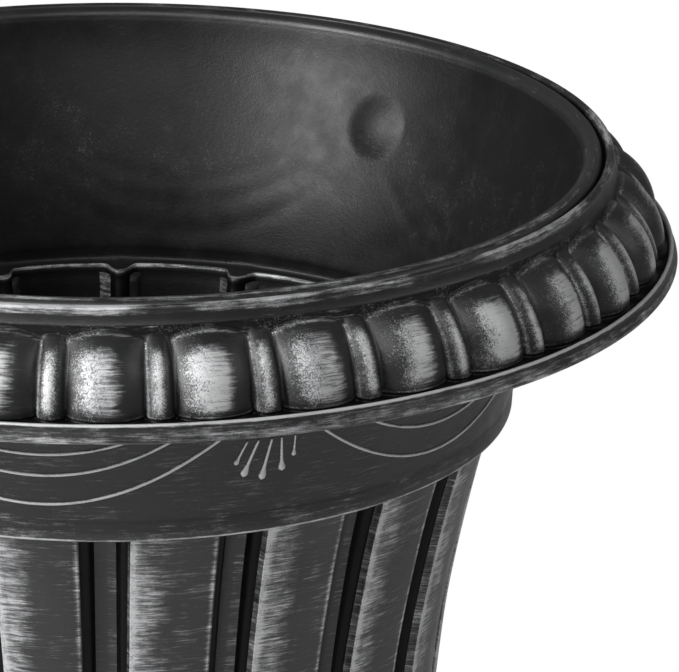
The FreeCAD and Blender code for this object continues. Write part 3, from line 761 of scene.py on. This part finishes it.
def upright(name, outline, low, high):
    """A prism of the foot on a closed outline."""
    count = len(outline)
    points = [(x, y, low) for x, y in outline] + [(x, y, high) for x, y in outline]
    faces = [list(range(count))[::-1], list(range(count, 2 * count))]
    faces += [(k, (k + 1) % count, count + (k + 1) % count, count + k) for k in range(count)]
    mesh_object(name, points, faces, "urn", charcoal)


def foot_inside():
    """Ribs in the plinth and bosses for the screws."""
    for k in range(8):
        turn = math.radians(45 * k)
        far = square_radius(np.array([turn]), PLINTH / 2 - 3.4, 3.0)[0]
        c, s = math.cos(turn), math.sin(turn)
        corners = ((RIB_START, -RIB_HALF), (far, -RIB_HALF), (far, RIB_HALF), (RIB_START, RIB_HALF))
        outline = [(r * c - w * s, r * s + w * c) for r, w in corners]
        upright("plinth_rib_%d" % k, outline, RIB_LOW, RIB_HIGH)
    for k in range(4):
        turn = math.radians(45 + 90 * k)
        x = SCREW_CIRCLE * math.cos(turn)
        y = SCREW_CIRCLE * math.sin(turn)
        sides = TURN * np.arange(SCREW_BOSS_SIDES) / SCREW_BOSS_SIDES
        ring = [(x + SCREW_BOSS_R * math.cos(t), y + SCREW_BOSS_R * math.sin(t)) for t in sides]
        upright("screw_boss_%d" % k, ring, SCREW_BOSS_LOW, SCREW_BOSS_HIGH)


foot()
foot_inside()


# ================================ small parts ========================================================
def finish_node(name, material):
    node = frame["nodes"][name]
    node.data.materials.clear()
    node.data.materials.append(material)


finish_node("foot_screws", zinc)
finish_node("drain_plug", rubber)


# ================================ floor, light, camera ================================================
def floor():
    """A pale floor that reads as white away from the urn and keeps its shadow near it."""
    size = 30.0
    corners = [(-size, -size, 0), (size, -size, 0), (size, size, 0), (-size, size, 0)]
    mesh = bpy.data.meshes.new("floor")
    mesh.from_pydata(corners, [], [(0, 1, 2, 3)])
    piece = bpy.data.objects.new("floor", mesh)
    bpy.context.scene.collection.objects.link(piece)
    material = bpy.data.materials.new("pale_floor")
    g = Graph(material)
    place = g.add("ShaderNodeTexCoord").outputs["Object"]
    reach = g.add("ShaderNodeVectorMath", operation="LENGTH")
    g.link(place, reach.inputs[0])
    far = g.ramp(reach.outputs["Value"], 0.28, 0.6)
    seen = g.add("ShaderNodeLightPath").outputs["Is Camera Ray"]
    matt = g.add("ShaderNodeBsdfDiffuse")
    matt.inputs["Color"].default_value = (0.8, 0.8, 0.8, 1)
    glow = g.add("ShaderNodeEmission")
    glow.inputs["Color"].default_value = (1, 1, 1, 1)
    mixer = g.add("ShaderNodeMixShader")
    g.link(g.math("MULTIPLY", far, seen), mixer.inputs[0])
    g.link(matt.outputs[0], mixer.inputs[1])
    g.link(glow.outputs[0], mixer.inputs[2])
    g.link(mixer.outputs[0], g.add("ShaderNodeOutputMaterial").inputs["Surface"])
    mesh.materials.append(material)


def lamp(name, angle, rise_deg, far, size, power, aim=0.40):
    """A soft area lamp: angle is from the camera's side, towards the right."""
    turn = VIEW_ANGLE + math.radians(angle)
    tilt = math.radians(rise_deg)
    target = Vector((0, 0, aim))
    level = math.cos(tilt)
    place = target + far * Vector((math.cos(turn) * level, math.sin(turn) * level, math.sin(tilt)))
    data = bpy.data.lights.new(name, "AREA")
    data.shape = "RECTANGLE"
    data.size, data.size_y = size
    data.energy = power
    piece = bpy.data.objects.new(name, data)
    piece.rotation_euler = (target - place).to_track_quat("-Z", "Y").to_euler()
    piece.location = place
    bpy.context.scene.collection.objects.link(piece)


def world():
    scene_world = bpy.data.worlds.new("studio")
    bpy.context.scene.world = scene_world
    scene_world.use_nodes = True
    tree = scene_world.node_tree
    tree.nodes.clear()
    soft = tree.nodes.new("ShaderNodeBackground")
    soft.inputs["Color"].default_value = (1, 1, 1, 1)
    soft.inputs["Strength"].default_value = 0.17
    white = tree.nodes.new("ShaderNodeBackground")
    white.inputs["Color"].default_value = (1, 1, 1, 1)
    mixer = tree.nodes.new("ShaderNodeMixShader")
    seen = tree.nodes.new("ShaderNodeLightPath")
    tree.links.new(seen.outputs["Is Camera Ray"], mixer.inputs[0])
    tree.links.new(soft.outputs[0], mixer.inputs[1])
    tree.links.new(white.outputs[0], mixer.inputs[2])
    tree.links.new(mixer.outputs[0], tree.nodes.new("ShaderNodeOutputWorld").inputs["Surface"])


def camera():
    data = bpy.data.cameras.new("camera")
    data.sensor_fit = "HORIZONTAL"
    data.sensor_width = SENSOR_W
    data.lens = FOCAL_PX * SENSOR_W / IMAGE_W
    data.clip_end = 100.0
    turn = VIEW_ANGLE + math.pi / 2
    spin = Matrix.Rotation(turn, 3, "Z")
    level = math.cos(PITCH)
    ahead = spin @ Vector((math.sin(YAW) * level, math.cos(YAW) * level, -math.sin(PITCH)))
    right = spin @ Vector((math.cos(YAW), -math.sin(YAW), 0))
    up = right.cross(ahead)
    right_rolled = right * math.cos(ROLL) + up * math.sin(ROLL)
    up_rolled = up * math.cos(ROLL) - right * math.sin(ROLL)
    place = spin @ Vector((0, -CAMERA_FAR, 0)) + Vector((0, 0, RIM_TOP + CAMERA_RISE))
    matrix = Matrix((right_rolled, up_rolled, -ahead)).transposed().to_4x4()
    matrix.translation = place * MM
    piece = bpy.data.objects.new("camera", data)
    piece.matrix_world = matrix
    bpy.context.scene.collection.objects.link(piece)
    bpy.context.scene.camera = piece


floor()
world()
lamp("key", -60, 24, 2.0, (1.0, 1.0), 56)
lamp("front", -8, 42, 2.2, (1.2, 0.9), 14)
lamp("fill", 75, 30, 2.4, (1.2, 1.2), 8)
camera()
bpy.context.scene.view_settings.view_transform = "Standard"
